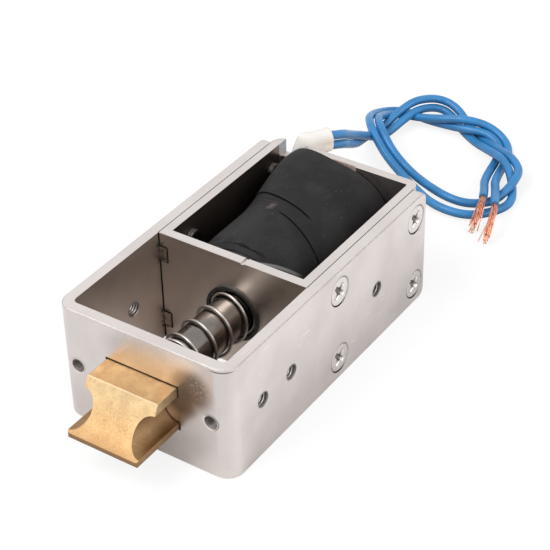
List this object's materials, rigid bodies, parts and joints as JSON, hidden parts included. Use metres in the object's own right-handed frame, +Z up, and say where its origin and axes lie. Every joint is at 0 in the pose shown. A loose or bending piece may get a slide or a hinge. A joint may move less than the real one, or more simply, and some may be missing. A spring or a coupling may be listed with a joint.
{
  "type": "push pull solenoid latch",
  "caption": "Open-frame electromagnet in a U-shaped bracket that pulls a spring-loaded, slanted brass latch bolt back through the front plate; bare-ended leads.",
  "frame": {"origin": "centre of the underside of the part without its leads, midway between the tip of the bolt and the rear end of the lead sleeve, at the height of the bracket's lower edges", "axes": "+Z up from the bracket's lower edges; -Y the way the latch bolt points, +Y towards the coil and leads; +X to the right when looking along +Y"},
  "size_m": [0.0439, 0.1372, 0.0257],
  "materials": {
    "nickel_plate": "bright nickel plate, lightly brushed",
    "bright_nickel": "polished nickel plate",
    "spring_steel": "bright drawn wire",
    "zinc_screw": "bright zinc plate",
    "core_iron": "turned soft iron",
    "bolt_brass": "cast and tumbled, fine grain",
    "pin_steel": "ground",
    "black_ring": "black oxide",
    "black_tape": "black acetate cloth tape",
    "bobbin_black": "moulded nylon",
    "winding_copper": "enamelled copper wire",
    "paper": "fibre insulation paper",
    "sleeve_white": "soft off-white sleeving",
    "wire_blue": "satin PVC insulation",
    "strand_copper": "bare stranded copper"
  },
  "bodies": {
    "frame_and_coil": {"outer_bracket": "nickel_plate", "coil_frame": "nickel_plate", "yoke_plate": "nickel_plate", "coil_bobbin": "bobbin_black", "coil_winding": "winding_copper", "coil_tape": "black_tape", "fixed_core": "core_iron", "return_spring": "spring_steel", "insulation_paper": "paper", "lead_sleeve": "sleeve_white", "screw_left_front_low": "zinc_screw", "screw_left_front_high": "zinc_screw", "screw_left_rear_low": "zinc_screw", "screw_left_rear_high": "zinc_screw", "screw_right_front_low": "zinc_screw", "screw_right_front_high": "zinc_screw", "screw_right_rear_low": "zinc_screw", "screw_right_rear_high": "zinc_screw", "lead_wire_a": "wire_blue", "wire_strands_a": "strand_copper", "lead_wire_b": "wire_blue", "wire_strands_b": "strand_copper"},
    "latch_and_plunger": {"plunger": "bright_nickel", "retaining_ring": "black_ring", "latch_bolt": "bolt_brass", "bolt_pin": "pin_steel"}
  },
  "joints": [
    {"name": "bolt_retract", "type": "slide", "parent": "frame_and_coil", "child": "latch_and_plunger", "axis": [0, 1, 0], "range_m": [0, 0.01], "stiffness_N_per_m": 440, "springref_m": -0.004, "deforming": ["return_spring"]}
  ]
}
